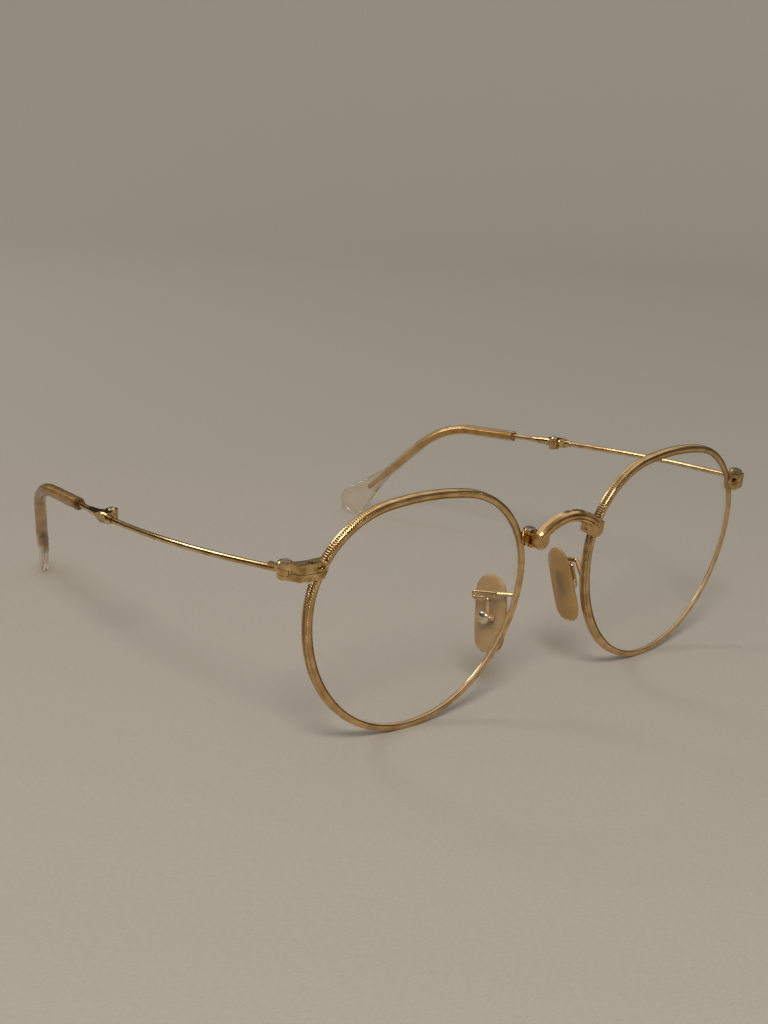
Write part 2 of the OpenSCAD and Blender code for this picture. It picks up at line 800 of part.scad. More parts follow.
module tab(extra) {
    translate([0, 0, box_z]) rotate([-90, 0, 0]) translate([0, 0, -tab_half - extra])
        linear_extrude(height = 2 * (tab_half + extra)) {
            translate([pad_pin_x, 0]) circle(r = tab_r + extra);
            translate([0, -tab_r - extra]) square([pad_pin_x, 2 * (tab_r + extra)]);
        }
}

module insert_plate(extra) {
    translate([-plate_half_t - extra, 0, 0]) rotate([0, 90, 0])
        linear_extrude(height = 2 * (plate_half_t + extra)) {
            for (z = [plate_half_h - plate_half_w, plate_half_w - plate_half_h]) {
                translate([z, 0]) circle(r = plate_half_w + extra);
            }
            square([2 * (plate_half_h - plate_half_w), 2 * (plate_half_w + extra)], center = true);
        }
}

module pad_insert(side) {
    color(insert_olive) on_pad(side) difference() {
        union() {
            tab(0);
            insert_plate(0);
        }
        translate([pad_pin_x, long / 2, box_z]) rotate([90, 0, 0]) cylinder(r = pad_pin_r + fit, h = long);
    }
}

module nose_pad(side) {
    half_w = pad_w / 2;
    high_r = 0.95 * half_w;
    fore_r = 0.85 * half_w;
    rear_r = 0.65 * half_w;
    color(pad_tan) on_pad(side) difference() {
        hull() {
            for (end = [[high_r, 0, pad_h / 2 - high_r], [fore_r, fore_r - half_w, fore_r - pad_h / 2],
                [rear_r, half_w - rear_r, rear_r - pad_h / 2]]) {
                translate([0, end[1], end[2]]) rotate([0, 90, 0]) rotate_extrude($fn = 48)
                    polygon([
                        [0, -pad_half_t], [end[0] * 0.55, -pad_half_t * 0.93],
                        [end[0] * 0.85, -pad_half_t * 0.65], [end[0], -pad_half_t * 0.1],
                        [end[0] * 0.97, pad_half_t * 0.45], [end[0] * 0.85, pad_half_t * 0.85],
                        [end[0] * 0.6, pad_half_t], [0, pad_half_t]
                    ]);
            }
        }
        tab(seam);
        insert_plate(seam);
    }
}

bridge();
bridge_screw(right);  // bridge_screw_right
bridge_screw(left);  // bridge_screw_left
rim(right);  // rim_right
rim(left);  // rim_left
lens(right);  // lens_right
lens(left);  // lens_left
bridge_knuckle(right);  // bridge_knuckle_right
bridge_knuckle(left);  // bridge_knuckle_left
closing_block_upper(right);  // closing_block_upper_right
closing_block_upper(left);  // closing_block_upper_left
closing_block_lower(right);  // closing_block_lower_right
closing_block_lower(left);  // closing_block_lower_left
closing_screw(right);  // closing_screw_right
closing_screw(left);  // closing_screw_left
temple_hinge_screw(right);  // temple_hinge_screw_right
temple_hinge_screw(left);  // temple_hinge_screw_left
pad_arm(right);  // pad_arm_right
pad_arm(left);  // pad_arm_left
pad_box(right);  // pad_box_right
pad_box(left);  // pad_box_left
pad_screw(right);  // pad_screw_right
pad_screw(left);  // pad_screw_left
nose_pad(right);  // nose_pad_right
nose_pad(left);  // nose_pad_left
pad_insert(right);  // pad_insert_right
pad_insert(left);  // pad_insert_left
temple_knuckle(right);  // temple_knuckle_right
temple_knuckle(left);  // temple_knuckle_left
temple_front(right);  // temple_front_right
temple_front(left);  // temple_front_left
mid_hinge_front_leaf(right);  // mid_hinge_front_leaf_right
mid_hinge_front_leaf(left);  // mid_hinge_front_leaf_left
mid_hinge_pin(right);  // mid_hinge_pin_right
mid_hinge_pin(left);  // mid_hinge_pin_left
mid_hinge_rear_leaf(right);  // mid_hinge_rear_leaf_right
mid_hinge_rear_leaf(left);  // mid_hinge_rear_leaf_left
temple_rear(right);  // temple_rear_right
temple_rear(left);  // temple_rear_left
temple_tip(right);  // temple_tip_right
temple_tip(left);  // temple_tip_left
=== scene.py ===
# %% [markdown]
# # Folding wire glasses
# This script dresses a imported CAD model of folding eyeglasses. Two gold wire rims
# hang on a small arched bridge with a hinge at each end. The temples fold at the
# front and once more half way back. The model arrives as a fixed frame, in metres,
# and every new piece is made where the CAD says and rides on one of its bodies.
# The finish is most of the likeness here: polished gold plate, clear golden
# sleeves, soft tan nose pads and clear lenses.

# %% Load the frame
import json
import math
import bpy
import bmesh
from mathutils import Matrix, Vector, noise


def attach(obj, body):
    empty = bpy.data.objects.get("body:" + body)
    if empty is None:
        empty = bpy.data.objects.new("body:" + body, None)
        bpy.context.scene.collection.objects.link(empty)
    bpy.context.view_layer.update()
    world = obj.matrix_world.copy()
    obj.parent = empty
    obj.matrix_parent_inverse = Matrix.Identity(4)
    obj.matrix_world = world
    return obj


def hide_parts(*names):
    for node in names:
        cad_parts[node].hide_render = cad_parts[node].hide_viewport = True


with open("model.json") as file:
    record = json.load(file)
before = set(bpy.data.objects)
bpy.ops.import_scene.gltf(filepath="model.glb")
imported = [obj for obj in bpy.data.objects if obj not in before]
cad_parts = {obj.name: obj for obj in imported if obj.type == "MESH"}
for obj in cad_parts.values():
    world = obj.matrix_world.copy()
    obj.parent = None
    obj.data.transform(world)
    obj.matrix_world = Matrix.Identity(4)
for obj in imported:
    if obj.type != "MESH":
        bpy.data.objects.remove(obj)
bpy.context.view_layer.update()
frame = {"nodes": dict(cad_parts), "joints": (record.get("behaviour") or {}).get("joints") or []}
nodes = frame["nodes"]
MM = 0.001
SIDES = {"right": -1, "left": 1}

# %% [markdown]
# ## Where things are
# The CAD part is drawn in a few leaning frames: the front as a whole, each rim in
# it, each nose pad, and the rear half of each temple. New pieces are made from
# plain millimetre numbers in the same frames, so they land on the CAD parts with
# no fitting. A frame is one matrix, and the right side is the left one mirrored.

# %% The rim's line, from the same driving sizes as the CAD part
LENS_W, LENS_H, LENS_GAP = 50, 46, 20.5
LINE_IN = 0.35  # the rim's middle line runs this far outside the boxed lens
RADIUS_SHARES = (1.18, 0.375, 0.552, 0.4734)  # of the line's width
LINE_W, LINE_H = LENS_W + 2 * LINE_IN, LENS_H + 2 * LINE_IN
TOP_R, CORNER_R, SIDE_R, BOTTOM_R = (share * LINE_W for share in RADIUS_SHARES)
CORNER_X = LINE_W / 2 - CORNER_R
A_TOP = math.acos(CORNER_X / (TOP_R - CORNER_R))
TOP_C = Vector((0, LINE_H / 2 - TOP_R))
CORNER_C = Vector((CORNER_X, LINE_H / 2 - TOP_R + (TOP_R - CORNER_R) * math.sin(A_TOP)))
BOTTOM_C = Vector((0, BOTTOM_R - LINE_H / 2))
to_bottom = BOTTOM_C - CORNER_C
span = to_bottom.length
along = ((SIDE_R - CORNER_R) ** 2 - (SIDE_R - BOTTOM_R) ** 2 + span ** 2) / (2 * span)
aside = math.sqrt((SIDE_R - CORNER_R) ** 2 - along ** 2)
unit = to_bottom / span
SIDE_C = CORNER_C + along * unit + aside * Vector((unit.y, -unit.x))
A_SIDE = math.atan2(*(CORNER_C - SIDE_C).yx)
A_LOW = math.atan2(*(BOTTOM_C - SIDE_C).yx)


def line_x(up):
    """Half width of the rim's line at a height above the lens centre."""
    return CORNER_X + CORNER_R * math.cos(math.asin((up - CORNER_C.y) / CORNER_R))


print("rim line:", round(LINE_W, 2), "by", round(LINE_H, 2), "mm")

# %% Frames of the front, the rims, the pads and the temples
RIM_LEAN, RIM_WRAP = 3.63, 3.27  # degrees: the top leans forwards, the sides go back
RIM_X = (LENS_GAP + LENS_W) / 2
# A bridge pin's height, and its way in and forwards from the rim's line.
BRIDGE_UP, BRIDGE_REACH, BRIDGE_FORE = 11.45, 2.8, 0.2
PAD_MIDDLE, PAD_SHIFT = Vector((11, 4.25, -5.5)), Vector((0.3, -0.25, -0.95))
PAD_TURN, PAD_TWIST = Vector((-12.5, -8.5, -10)), Vector((2, 3, 0))
TEMPLE_FALL, TEMPLE_FLARE = 4.7, 2.7  # degrees, down and outwards
FRONT_LEN, FRONT_BOW = 57.4, 2.65  # the temple's bowed front half
PIN_IN = 1.5  # the middle hinge's pin sits this far in from the wire
BOW_R = (FRONT_LEN ** 2 / 4 + FRONT_BOW ** 2) / (2 * FRONT_BOW)
END_TURN = math.degrees(math.asin(FRONT_LEN / 2 / BOW_R)) - TEMPLE_FLARE


def turn(axis, degrees):
    """Turn about one axis, as a matrix."""
    return Matrix.Rotation(math.radians(degrees), 4, axis)


def joint_at(name):
    """Place of a joint of the frame, in millimetres."""
    found = next(joint for joint in frame["joints"] if joint["name"] == name)
    return Vector(found["pos_m"]) / MM


wrap = math.radians(RIM_WRAP)
bridge_line = line_x(BRIDGE_UP)
bridge_pin = Vector((RIM_X - bridge_line * math.cos(wrap) - BRIDGE_REACH,
                     -bridge_line * math.sin(wrap) - BRIDGE_FORE, BRIDGE_UP))
FRONT = joint_at("bridge_fold_left") - turn("X", RIM_LEAN) @ bridge_pin
MIDDLE_TURN = turn("X", -TEMPLE_FALL) @ turn("Z", END_TURN)
MIDDLE = joint_at("mid_fold_left") + MIDDLE_TURN @ Vector((PIN_IN, 0, 0))


def side_frame(side):
    return Matrix.Diagonal((side, 1, 1, 1))


def front_frame(side):
    return side_frame(side) @ Matrix.Translation(FRONT) @ turn("X", RIM_LEAN)


def rim_frame(side):
    """The rim's own plane: x outwards, y up and z to the front."""
    to_rim = Matrix.Translation((RIM_X, 0, 0)) @ turn("Z", RIM_WRAP) @ turn("X", 90)
    return front_frame(side) @ to_rim


def pad_frame(side):
    """The two pads sit and lean a little differently, by SHIFT and TWIST either way."""
    lean = PAD_TURN - side * PAD_TWIST
    turns = turn("Z", lean.z) @ turn("Y", lean.y) @ turn("X", lean.x)
    return front_frame(side) @ Matrix.Translation(PAD_MIDDLE - side * PAD_SHIFT) @ turns


def middle_frame(side):
    return side_frame(side) @ Matrix.Translation(MIDDLE) @ MIDDLE_TURN


for label, side in SIDES.items():
    print(label, "rim middle (mm):", tuple(round(v, 2) for v in rim_frame(side).translation))

# %% [markdown]
# ## Finishes
# Each finish is one node material. A small helper makes the shader and a second
# one adds a noise that runs in the object's own space, in millimetres, so that a
# speckle has the same size on a screw and on a rim. Colour, roughness and relief
# all come from such noises, which look right from any side of the object.

# %% Helpers that make a shader, a noise and colours from it
NOISE_LOW, NOISE_HIGH = 0.3, 0.7  # a noise keeps to about this span


def finish(name, **sockets):
    """New material with plain numbers on the shader's sockets."""
    material = bpy.data.materials.new(name)
    material.use_nodes = True
    shader = material.node_tree.nodes["Principled BSDF"]
    for socket, value in sockets.items():
        shader.inputs[socket.replace("_", " ")].default_value = value
    return material, material.node_tree, shader


def speckle(tree, size_mm, detail=2.0, stretch=(1, 1, 1)):
    """Noise in the object's own space."""
    place = tree.nodes.new("ShaderNodeTexCoord")
    mapping = tree.nodes.new("ShaderNodeMapping")
    mapping.inputs["Scale"].default_value = [s / (size_mm * MM) for s in stretch]
    texture = tree.nodes.new("ShaderNodeTexNoise")
    texture.inputs["Scale"].default_value = 1.0
    texture.inputs["Detail"].default_value = detail
    tree.links.new(place.outputs["Object"], mapping.inputs["Vector"])
    tree.links.new(mapping.outputs["Vector"], texture.inputs["Vector"])
    return texture.outputs["Fac"]


def shades(tree, factor, *stops):
    """Colour ramp with a stop, (place, colour), for each shade."""
    ramp = tree.nodes.new("ShaderNodeValToRGB")
    marks = ramp.color_ramp.elements
    while len(marks) < len(stops):
        marks.new(0.5)  # moved below
    for mark, (place, colour) in zip(marks, stops):
        mark.position = place
        mark.color = (*colour, 1)
    tree.links.new(factor, ramp.inputs["Fac"])
    return ramp.outputs["Color"]


def mapped(tree, value, start, end, low=0.0, high=1.0):
    """Carries the numbers start to end over to low to high."""
    span = tree.nodes.new("ShaderNodeMapRange")
    span.inputs["From Min"].default_value = start
    span.inputs["From Max"].default_value = end
    span.inputs["To Min"].default_value = low
    span.inputs["To Max"].default_value = high
    tree.links.new(value, span.inputs["Value"])
    return span.outputs["Result"]


def between(tree, factor, low, high):
    """A noise's span carried over to the numbers low to high."""
    return mapped(tree, factor, NOISE_LOW, NOISE_HIGH, low, high)


print("a noise's span:", NOISE_LOW, "to", NOISE_HIGH)

# %% Helpers that mix colours, tell rays apart and add relief
COLOUR_A, COLOUR_B, COLOUR_OUT = 6, 7, 2  # sockets of the Mix node when it mixes colours


def blend(tree, factor, first, second):
    """The first colour where the factor is 0, the second where it is 1."""
    mix = tree.nodes.new("ShaderNodeMix")
    mix.data_type = "RGBA"
    tree.links.new(factor, mix.inputs["Factor"])
    tree.links.new(first, mix.inputs[COLOUR_A])
    tree.links.new(second, mix.inputs[COLOUR_B])
    return mix.outputs[COLOUR_OUT]


def mirror_rays(tree):
    """1 for a ray that left a mirror, 0 for one that went through glass."""
    ways = tree.nodes.new("ShaderNodeLightPath")
    less = tree.nodes.new("ShaderNodeMath")
    less.operation = "SUBTRACT"
    less.use_clamp = True
    tree.links.new(ways.outputs["Is Glossy Ray"], less.inputs[0])
    tree.links.new(ways.outputs["Is Transmission Ray"], less.inputs[1])
    return less.outputs["Value"]


def relief(tree, shader, height, depth_mm, strength=1.0):
    """Bump from a height's shades."""
    bump = tree.nodes.new("ShaderNodeBump")
    bump.inputs["Strength"].default_value = strength
    bump.inputs["Distance"].default_value = depth_mm * MM
    tree.links.new(height, bump.inputs["Height"])
    tree.links.new(bump.outputs["Normal"], shader.inputs["Normal"])


print("helpers:", blend.__name__, mirror_rays.__name__, relief.__name__)

# %% [markdown]
# ### Gold plate
# The wire is gold-plated and polished, with a slightly darker, browner tone where
# handling has dulled it. A metal shader with a two-tone colour and an uneven
# roughness does this. The relief is very shallow, because plated wire is smooth
# and only its highlights waver. Blocks and hinges look darker in their hollows, where
# shade falls, so their gold gets a wider span of tones with a darker low, which a
# noise spreads at random: partly painted shade. The darker gold in the rims' milled
# gaps is painted shade. Screws are brighter, and solder is grey and dull.

# %% Gold plate, bright screws, solder and the pads' metal plates
DULL_MARK, BRIGHT_MARK = 0.36, 0.62
ROUGHER, SMOOTHER = 0.07, 0.03
GRAIN_SHARE = 4  # the relief's grain is this many times finer than the tone


def metal(name, dull, bright, rough, size_mm=2.5, depth_mm=0.012):
    material, tree, shader = finish(name, Metallic=1.0)
    tone = speckle(tree, size_mm, 3.0)
    grain = speckle(tree, size_mm / GRAIN_SHARE, 3.0)
    colour = shades(tree, tone, (DULL_MARK, dull), (BRIGHT_MARK, bright))
    roughness = between(tree, tone, rough + ROUGHER, rough - SMOOTHER)
    tree.links.new(colour, shader.inputs["Base Color"])
    tree.links.new(roughness, shader.inputs["Roughness"])
    relief(tree, shader, grain, depth_mm)
    return material


gold_plate = metal("gold_plate", (0.56, 0.35, 0.14), (0.80, 0.55, 0.27), 0.12)
# The block's darker low tone is partly painted shade for its hollows, spread at random by the
# noise.
gold_block = metal("gold_block", (0.42, 0.26, 0.09), (0.78, 0.55, 0.26), 0.11, 1.6)
# The milled gaps' darker gold is painted shade in the recesses between beads.
milled_gap_painted_shade = metal("milled_gap_painted_shade", (0.24, 0.14, 0.05), (0.44, 0.28, 0.12), 0.28, 1.0)
screw_metal = metal("screw_metal", (0.72, 0.60, 0.42), (0.95, 0.88, 0.72), 0.1, 0.5)
solder_metal = metal("solder_metal", (0.22, 0.19, 0.16), (0.56, 0.50, 0.42), 0.3, 0.35, 0.01)
insert_metal = metal("insert_metal", (0.16, 0.15, 0.09), (0.30, 0.27, 0.16), 0.42, 0.6)
METALS = (gold_plate, gold_block, milled_gap_painted_shade, screw_metal, solder_metal, insert_metal)
print("metals:", [material.name for material in METALS])

# %% [markdown]
# ### Sleeve, pads and lenses
# The sleeves are clear plastic that has yellowed along the wire, so they look
# golden brown where they are round and nearly clear in the flat tip. Their colour
# fades from one to the other by the distance behind the middle hinge. The pads are
# softer and milkier. The lenses are clear glass, and their ground edges are painted
# the gold of the groove around them, as a painted reflection. Plastic, pads and glass
# let light through: shadow and diffuse rays pass them with a slight tint, as light
# does in the real ones, because a path tracer would otherwise give glass a solid shadow.

# %% Helpers for clear finishes
def let_light_by(tree, shader, tint):
    """Lets shadow and diffuse rays through, and shows the shader to all others."""
    ways = tree.nodes.new("ShaderNodeLightPath")
    either = tree.nodes.new("ShaderNodeMath")
    either.operation = "MAXIMUM"
    tree.links.new(ways.outputs["Is Shadow Ray"], either.inputs[0])
    tree.links.new(ways.outputs["Is Diffuse Ray"], either.inputs[1])
    clear = tree.nodes.new("ShaderNodeBsdfTransparent")
    clear.inputs["Color"].default_value = (*tint, 1)
    mix = tree.nodes.new("ShaderNodeMixShader")
    tree.links.new(either.outputs["Value"], mix.inputs["Fac"])
    tree.links.new(shader.outputs["BSDF"], mix.inputs[1])
    tree.links.new(clear.outputs["BSDF"], mix.inputs[2])
    tree.links.new(mix.outputs["Shader"], tree.nodes["Material Output"].inputs["Surface"])


def fade_back(tree, start_mm, end_mm):
    """0 before a place on the way from front to back, 1 behind another one."""
    place = tree.nodes.new("ShaderNodeTexCoord")
    parts = tree.nodes.new("ShaderNodeSeparateXYZ")
    tree.links.new(place.outputs["Object"], parts.inputs["Vector"])
    return mapped(tree, parts.outputs["Y"], start_mm * MM, end_mm * MM)


PALE_MARK, DEEP_MARK = 0.35, 0.68
FADE_FROM, FADE_TO = 30, 56  # mm behind the middle hinge
CLOUD_MM, WAVE_MM, WAVE_DEPTH_MM, WAVE_STRENGTH = 3.5, 1.6, 0.002, 0.6


def clear_plastic(name, tones, rough, through, tint, tip_tones=None, **sockets):
    """Cloudy plastic. The tones are a pale and a deep one, and the tip may have its own."""
    material, tree, shader = finish(name, Transmission_Weight=through, **sockets)
    cloud = speckle(tree, CLOUD_MM, 2.0)
    colour = shades(tree, cloud, (PALE_MARK, tones[0]), (DEEP_MARK, tones[1]))
    if tip_tones:
        clear = shades(tree, cloud, (PALE_MARK, tip_tones[0]), (DEEP_MARK, tip_tones[1]))
        fade = fade_back(tree, MIDDLE.y + FADE_FROM, MIDDLE.y + FADE_TO)
        colour = blend(tree, fade, colour, clear)
    tree.links.new(colour, shader.inputs["Base Color"])
    tree.links.new(between(tree, cloud, rough, rough * 2), shader.inputs["Roughness"])
    relief(tree, shader, speckle(tree, WAVE_MM), WAVE_DEPTH_MM, WAVE_STRENGTH)
    let_light_by(tree, shader, tint)
    return material


print("sleeves fade from", FADE_FROM, "to", FADE_TO, "mm behind the middle hinge")

# %% Sleeve, pads, lenses and their ground edges
sleeve_plastic = clear_plastic(
    "sleeve_plastic", ((0.80, 0.66, 0.38), (0.66, 0.50, 0.23)), rough=0.08, through=0.92,
    tint=(0.85, 0.78, 0.66), tip_tones=((0.87, 0.81, 0.71), (0.81, 0.74, 0.61)), IOR=1.48)
pad_silicone = clear_plastic(
    "pad_silicone", ((0.59, 0.39, 0.165), (0.48, 0.305, 0.115)), rough=0.25, through=0.5,
    tint=(0.74, 0.62, 0.42), IOR=1.42, Subsurface_Weight=0.3, Subsurface_Scale=0.002)
lens_glass, lens_tree, lens_shader = finish("lens_glass", Transmission_Weight=1.0, IOR=1.5)
lens_shader.inputs["Base Color"].default_value = (0.985, 0.99, 0.985, 1)
dust = speckle(lens_tree, 6.0, 4.0)
lens_tree.links.new(between(lens_tree, dust, 0.0, 0.01), lens_shader.inputs["Roughness"])
let_light_by(lens_tree, lens_shader, (0.96, 0.96, 0.955))
ground_edge_painted_gold, edge_tree, edge_shader = finish("ground_edge_painted_gold", Transmission_Weight=0.3, IOR=1.5)
grit = speckle(edge_tree, 0.8, 3.0)
# The ground edge's gold colour is a painted reflection of the gold groove round the lens.
painted_gold_reflection = shades(edge_tree, grit,
                   (NOISE_LOW, (0.32, 0.18, 0.05)), (NOISE_HIGH, (0.52, 0.32, 0.10)))
edge_tree.links.new(painted_gold_reflection, edge_shader.inputs["Base Color"])
edge_tree.links.new(between(edge_tree, grit, 0.5, 0.7), edge_shader.inputs["Roughness"])
CLEAR = (sleeve_plastic, pad_silicone, lens_glass, ground_edge_painted_gold)
print("clear finishes:", [material.name for material in CLEAR])

# %% [markdown]
# ## Dressing the CAD parts
# Blocks, knuckles, screws and leaves have their right shapes already. They keep
# their meshes as they come and only take a finish. A name's longest matching
# beginning picks it, so both sides share one entry, and all that isn't listed
# takes the gold plate. A part that a new piece replaces takes that piece's finish.

# %% Give every CAD part its finish
DRESS = {
    "lens": (lens_glass, "lens"), "bridge_screw": (screw_metal, "screw"),
    "closing_screw": (screw_metal, "screw"), "temple_hinge_screw": (screw_metal, "screw"),
    "pad_screw": (screw_metal, "screw"), "mid_hinge_pin": (screw_metal, "screw"),
    "closing_block": (gold_block, "gold"), "bridge_knuckle": (gold_block, "gold"),
    "mid_hinge": (gold_block, "gold"), "pad_insert": (insert_metal, "insert"),
    "temple_tip": (sleeve_plastic, "sleeve"), "nose_pad": (pad_silicone, "pad"),
}
for name, part in nodes.items():
    found = [key for key in DRESS if name.startswith(key)]
    material, slot = DRESS[max(found, key=len)] if found else (gold_plate, "gold")
    part.data.materials.clear()
    part.data.materials.append(material)
print("dressed:", len(nodes), "CAD parts")

# %% [markdown]
# ## Building pieces by sweeping a section
# Wire goods are sections carried along a line. One helper does it for every such
# piece: it takes rings of points, all with the same count, joins neighbours with
# quads, and closes the two ends with a cap. The points are in millimetres in one
# of the frames above. Edges sharper than a set angle stay crisp, because smooth
# shading across them would bend the light in a lens's outermost strip.

# %% Helper that joins rings of points into one piece
SHARP_FROM = math.radians(42)


def circle(radius, count):
    """Points of a circle round the origin, as pairs."""
    angles = [2 * math.pi * k / count for k in range(count)]
    return [(radius * math.cos(a), radius * math.sin(a)) for a in angles]


def skin(name, rings, place, material, closed=False, caps=True):
    """New object from rings of points, which are in millimetres in the place's frame."""
    mesh = bmesh.new()
    rows = [[mesh.verts.new(place @ Vector(p) * MM) for p in ring] for ring in rings]
    count = len(rows[0])
    for i in range(len(rows) if closed else len(rows) - 1):
        here, there = rows[i], rows[(i + 1) % len(rows)]
        for k in range(count):
            n = (k + 1) % count
            mesh.faces.new((here[k], here[n], there[n], there[k]))
    if caps and not closed:
        mesh.faces.new(rows[0][::-1])
        mesh.faces.new(rows[-1])
    bmesh.ops.recalc_face_normals(mesh, faces=mesh.faces)
    data = bpy.data.meshes.new(name)
    mesh.to_mesh(data)
    mesh.free()
    data.materials.append(material)
    for face in data.polygons:
        face.use_smooth = True
    data.set_sharp_from_angle(angle=SHARP_FROM)
    piece = bpy.data.objects.new(name, data)
    bpy.context.scene.collection.objects.link(piece)
    return piece


print("edges stay sharp from", round(math.degrees(SHARP_FROM)), "degrees")

# %% [markdown]
# ## The rims
# Each rim is one wire bent to four kinds of arc, with a groove inside for the
# lens. The real wire has a softly domed face and fine milling on its outer side
# and beside the dome. The arcs are walked in small steps, and the milled parts of
# the section dip at every gap between two beads, so the milling is real geometry
# that catches the light from any side. The outer faces beside each gap are painted
# a darker gold, as painted shade in the gaps.

# %% Walk round the rim's line
BEAD, STEPS = 0.48, 5  # length of a bead in mm, and stations on it


def mirrored(centre):
    return Vector((-centre.x, centre.y))


RIM_ARCS = [
    (TOP_C, TOP_R, math.pi - A_TOP, A_TOP), (CORNER_C, CORNER_R, A_TOP, A_SIDE),
    (SIDE_C, SIDE_R, A_SIDE, A_LOW), (BOTTOM_C, BOTTOM_R, A_LOW, -math.pi - A_LOW),
    (mirrored(SIDE_C), SIDE_R, math.pi - A_LOW, math.pi - A_SIDE),
    (mirrored(CORNER_C), CORNER_R, math.pi - A_SIDE, math.pi - A_TOP),
]


def walk_rim():
    """Stations (point of the line, way outwards, step on its bead) round the rim."""
    stations = []
    for centre, radius, start, end in RIM_ARCS:
        count = round(radius * abs(end - start) / BEAD) * STEPS
        for i in range(count):
            a = start + (end - start) * i / count
            out = Vector((math.cos(a), math.sin(a), 0))
            stations.append((centre.to_3d() + out * radius, out, i % STEPS))
    return stations


rim_line = walk_rim()
print("rim stations:", len(rim_line))

# %% Sweep the milled section round each rim
BEAD_DEPTH = [0.13, 0.04, 0.0, 0.0, 0.04]  # at each step of a bead
# Points (outwards, to the front, share of the milling) round the section. The
# milling beside the dome, below 0, runs half a bead behind the outer one.
SECTION = [
    (-0.70, 0.42, 0), (-0.30, 0.231, 0), (-0.30, -0.231, 0), (-0.70, -0.42, 0),
    (-0.70, -0.60, 0), (-0.64, -0.76, 0), (-0.50, -0.84, 0), (0.50, -0.84, 0),
    (0.64, -0.76, 0), (0.70, -0.60, 0), (0.70, -0.36, 0), (0.70, -0.27, 0.9),
    (0.70, 0.05, 1), (0.70, 0.32, 1), (0.69, 0.42, 0.8), (0.69, 0.48, 0),
    (0.66, 0.60, 0), (0.58, 0.70, 0), (0.51, 0.73, -0.7), (0.42, 0.76, -0.8),
    (0.33, 0.79, -0.6), (0.26, 0.82, 0), (0.12, 0.84, 0), (-0.10, 0.85, 0),
    (-0.32, 0.83, 0), (-0.50, 0.78, 0), (-0.63, 0.68, 0), (-0.69, 0.56, 0),
]


def rim_ring(station):
    """The section at one station of the rim's line."""
    at, out, phase = station
    ring = []
    for u, v, milled in SECTION:
        step = phase if milled >= 0 else (phase + STEPS // 2) % STEPS
        dip = BEAD_DEPTH[step] * abs(milled)
        point = at + out * (u - dip)
        ring.append((point.x, point.y, v - dip))
    return ring


def paint_shade_in_gaps(rim):
    """Paints shade, as a darker gold, on the outer faces on both sides of each bead gap."""
    rim.data.materials.append(milled_gap_painted_shade)
    for number, face in enumerate(rim.data.polygons):
        step, k = number // len(SECTION) % STEPS, number % len(SECTION)
        milled = SECTION[k][2] + SECTION[(k + 1) % len(SECTION)][2]
        if milled > 0 and step in (STEPS - 1, 0):
            face.material_index = 1


for label, side in SIDES.items():
    rings = [rim_ring(station) for station in rim_line]
    rim = skin(f"milled_rim_{label}", rings, rim_frame(side), gold_plate, closed=True)
    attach(rim, f"front_body_{label}")
    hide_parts(f"rim_{label}")
    paint_shade_in_gaps(rim)
    print(rim.name, len(rim.data.polygons), "faces")

# %% [markdown]
# ## The lenses
# A lens is a thin round plate, bulged a little to the front, with an edge ground to
# a low ridge that sits in the rim's groove. Its two faces are parts of large
# spheres. Rings shrink from the edge to the middle of each face and take their
# depth from the sphere, because a plate cut from a coarse sphere shows facets and
# blobs in clear glass.

# %% Each lens from rings between its two faces
LENS_CURVE, LENS_T = 260, 1.4
LENS_CLEAR, RIDGE_IN = 0.75, 0.36  # the edge's foot and top, inwards from the rim's line
RIDGE_FOOT, RIDGE_TOP = 0.42, 0.17  # half widths of the ridge
BACK_MIDDLE = LINE_W ** 2 / 8 / LENS_CURVE - LENS_T / 2
SHARES = [0.02, 0.12, 0.25, 0.4, 0.55, 0.7, 0.82, 0.92, 0.97, 1.0]
edge_line = rim_line[::2 * STEPS]


def lens_face(share, middle):
    """Ring on one face, at a share of the way to the edge."""
    ring = []
    for at, out, _ in edge_line:
        p = (at - out * LENS_CLEAR) * share
        rise = math.sqrt(LENS_CURVE ** 2 - p.x ** 2 - p.y ** 2)
        ring.append((p.x, p.y, middle - LENS_CURVE + rise))
    return ring


RIDGE = ((LENS_CLEAR, RIDGE_FOOT), (RIDGE_IN, RIDGE_TOP),
         (RIDGE_IN, -RIDGE_TOP), (LENS_CLEAR, -RIDGE_FOOT))


def lens_rings():
    front = [lens_face(share, BACK_MIDDLE + LENS_T) for share in SHARES]
    ridge = [[(*(at - out * inwards).xy, v) for at, out, _ in edge_line] for inwards, v in RIDGE]
    back = [lens_face(share, BACK_MIDDLE) for share in reversed(SHARES)]
    return front + ridge + back


for label, side in SIDES.items():
    lens = skin(f"clear_lens_{label}", lens_rings(), rim_frame(side), lens_glass)
    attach(lens, f"front_body_{label}")
    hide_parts(f"lens_{label}")
    # The edge faces take the finish whose gold is a painted reflection of the groove.
    lens.data.materials.append(ground_edge_painted_gold)
    first = (len(SHARES) - 1) * len(edge_line)
    last = first + (len(RIDGE) + 1) * len(edge_line)
    for face in lens.data.polygons[first:last]:
        face.material_index = 1
    print(lens.name, len(lens.data.polygons), "faces")

# %% [markdown]
# ## Solder
# The pad arms and the bridge's knuckles are soldered to the rims, and a little
# greyer metal has run out round each joint. A plain ball there would look like a
# bead. So a lump of solder is made from rings like a worn pebble, with a noise that
# pushes its surface in and out. It is stretched along the rim, where the melt was
# drawn, and sunk half into it.

# %% Small lumps of solder at each joint on the rims
LUMP_RINGS, LUMP_POINTS = 12, 20
SWELL, SWELL_FINE = 0.25, 1.6


